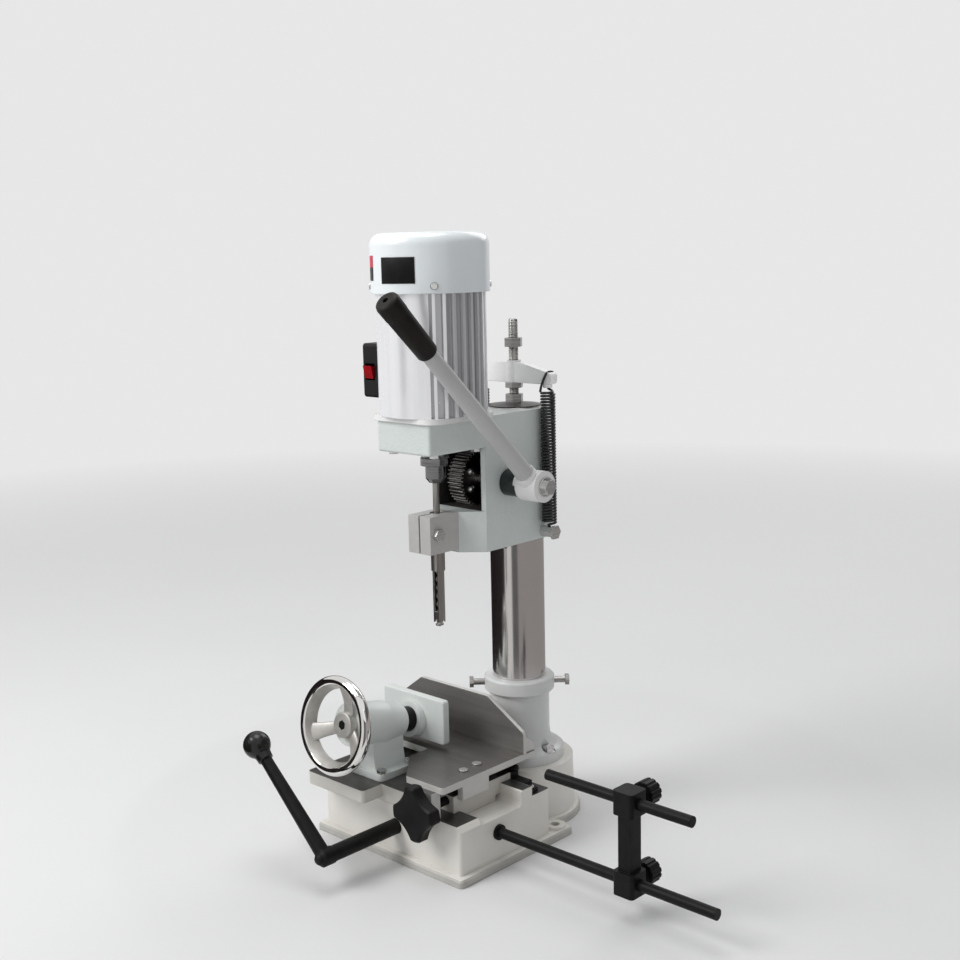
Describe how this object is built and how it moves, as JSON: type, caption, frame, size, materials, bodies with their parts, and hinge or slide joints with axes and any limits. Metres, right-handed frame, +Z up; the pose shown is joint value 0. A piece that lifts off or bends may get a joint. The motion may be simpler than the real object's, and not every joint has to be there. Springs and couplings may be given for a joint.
{
  "type": "bench mortiser",
  "caption": "Bench hollow-chisel mortiser: cast base, round column, sprung sliding head with a motor above, feed lever, cross-slide table with vise and fence, and a rod work stop.",
  "frame": {"origin": "midway between the two bolt holes of the base, on the base's underside", "axes": "+X to the operator's right, +Y to the back of the machine, +Z up along the column"},
  "size_m": [0.534, 0.3983, 0.71],
  "materials": {
    "cream_casting": "satin enamel over a cast surface",
    "head_paint": "light grey-green enamel over a cast surface",
    "lever_paint": "light grey paint",
    "white_casting": "white enamel over a cast surface",
    "motor_barrel": "bright extruded aluminium",
    "motor_cap_paint": "pale blue-white enamel",
    "polished_column": "ground and polished steel",
    "dark_table": "ground dark grey iron",
    "bright_steel": "bright turned steel",
    "gear_steel": "cut steel, lightly oiled",
    "tool_steel": "ground tool steel",
    "bush_bronze": "turned bronze",
    "spring_steel": "drawn spring wire",
    "black_steel": "black oxide",
    "black_plastic": "moulded black plastic",
    "red_plastic": "moulded red plastic",
    "chrome_wheel": "polished chrome plate"
  },
  "bodies": {
    "base": {"base_casting": "cream_casting", "column_socket": "head_paint", "socket_bolts": "bright_steel", "column_set_screws": "bright_steel", "column": "polished_column", "column_rack": "gear_steel", "column_cap": "black_steel", "spring_stud": "bright_steel", "stud_nuts": "bright_steel", "spring_crossbar": "white_casting", "return_spring_right": "spring_steel", "return_spring_left": "spring_steel", "stop_rod_lower": "black_steel"},
    "head": {"head_casting": "head_paint", "shaft_bushes": "bush_bronze", "chisel_holder": "bright_steel", "chisel_clamp_bolt": "bright_steel", "hollow_chisel": "tool_steel", "spring_anchor_bolts": "bright_steel", "motor_flange": "white_casting", "motor_flange_bolts": "bright_steel", "motor_frame": "motor_barrel", "motor_cap": "motor_cap_paint", "cap_screws": "bright_steel", "switch_box": "black_plastic"},
    "spindle": {"spindle_shaft": "bright_steel", "cooling_fan": "black_plastic", "drill_chuck": "bright_steel", "auger_bit": "tool_steel"},
    "lever": {"feed_shaft": "bright_steel", "feed_pinion": "gear_steel", "dog_collar": "black_steel", "lever_hub": "white_casting", "hub_bolt": "bright_steel", "lever_arm": "lever_paint", "lever_grip": "black_plastic"},
    "rocker": {"switch_rocker": "red_plastic"},
    "saddle": {"saddle": "cream_casting", "saddle_guide_bar": "black_steel", "saddle_rack": "gear_steel", "vise_bracket": "head_paint", "vise_bracket_bolts": "bright_steel"},
    "crank": {"crank_shaft": "black_steel", "crank_pinion": "gear_steel", "crank_arm": "black_steel", "crank_ball": "black_plastic"},
    "table": {"work_table": "dark_table", "table_pins": "bright_steel", "fence": "dark_table"},
    "table_screw": {"table_feed_screw": "black_steel", "star_knob": "black_plastic"},
    "jaw": {"vise_jaw": "head_paint", "vise_ram": "black_steel"},
    "vise_wheel": {"vise_screw": "black_steel", "handwheel": "chrome_wheel"},
    "stop_bracket": {"stop_bracket": "black_steel"},
    "stop_rod": {"stop_rod_upper": "black_steel"},
    "lower_knob": {"stop_knob_lower": "black_plastic"},
    "upper_knob": {"stop_knob_upper": "black_plastic"}
  },
  "joints": [
    {"name": "head_slide", "type": "slide", "parent": "base", "child": "head", "axis": [0, 0, 1], "range_m": [-0.056, 0], "stiffness_N_per_m": 2000, "springref_m": 0.14, "deforming": ["return_spring_right", "return_spring_left"]},
    {"name": "spindle_spin", "type": "hinge", "parent": "head", "child": "spindle", "pos_m": [0.022, -0.101, 0.5], "axis": [0, 0, 1], "continuous": true},
    {"name": "lever_turn", "type": "hinge", "parent": "head", "child": "lever", "pos_m": [0.104, -0.026, 0.426], "axis": [1, 0, 0], "range_deg": [0, 97.4]},
    {"name": "rocker_tilt", "type": "hinge", "parent": "head", "child": "rocker", "pos_m": [-0.06, -0.118, 0.5545], "axis": [1, 0, 0], "range_deg": [-22, 0]},
    {"name": "saddle_slide", "type": "slide", "parent": "base", "child": "saddle", "axis": [1, 0, 0], "range_m": [-0.04, 0.035]},
    {"name": "crank_turn", "type": "hinge", "parent": "base", "child": "crank", "pos_m": [0.01, -0.275, 0.039], "axis": [0, 1, 0], "range_deg": [-109.2, 95.6]},
    {"name": "table_slide", "type": "slide", "parent": "saddle", "child": "table", "axis": [0, 1, 0], "range_m": [-0.014, 0.006]},
    {"name": "table_screw_turn", "type": "hinge", "parent": "table", "child": "table_screw", "pos_m": [0.068, -0.178, 0.078], "axis": [0, 1, 0], "range_deg": [-841, 361]},
    {"name": "jaw_slide", "type": "slide", "parent": "saddle", "child": "jaw", "axis": [0, -0.9799, 0.1994], "range_m": [-0.022, 0.012]},
    {"name": "vise_wheel_turn", "type": "hinge", "parent": "saddle", "child": "vise_wheel", "pos_m": [-0.044, -0.20805, 0.15782], "axis": [0, -0.9799, 0.1994], "range_deg": [-661, 361]},
    {"name": "stop_bracket_slide", "type": "slide", "parent": "base", "child": "stop_bracket", "axis": [1, 0, 0], "range_m": [-0.1, 0.06]},
    {"name": "stop_rod_slide", "type": "slide", "parent": "stop_bracket", "child": "stop_rod", "axis": [1, 0, 0], "range_m": [-0.05, 0.09]},
    {"name": "lower_knob_turn", "type": "hinge", "parent": "stop_bracket", "child": "lower_knob", "pos_m": [0.298, -0.077, 0.041], "axis": [0, 1, 0], "range_deg": [-360, 0]},
    {"name": "upper_knob_turn", "type": "hinge", "parent": "stop_bracket", "child": "upper_knob", "pos_m": [0.298, -0.077, 0.129], "axis": [0, 1, 0], "range_deg": [-360, 0]}
  ],
  "couplings": [
    {"joint": "lever_turn", "follows": "head_slide", "rad_per_m": -30.303},
    {"joint": "crank_turn", "follows": "saddle_slide", "rad_per_m": 47.619},
    {"joint": "table_screw_turn", "follows": "table_slide", "rad_per_m": 1047.2},
    {"joint": "vise_wheel_turn", "follows": "jaw_slide", "rad_per_m": 523.6}
  ]
}
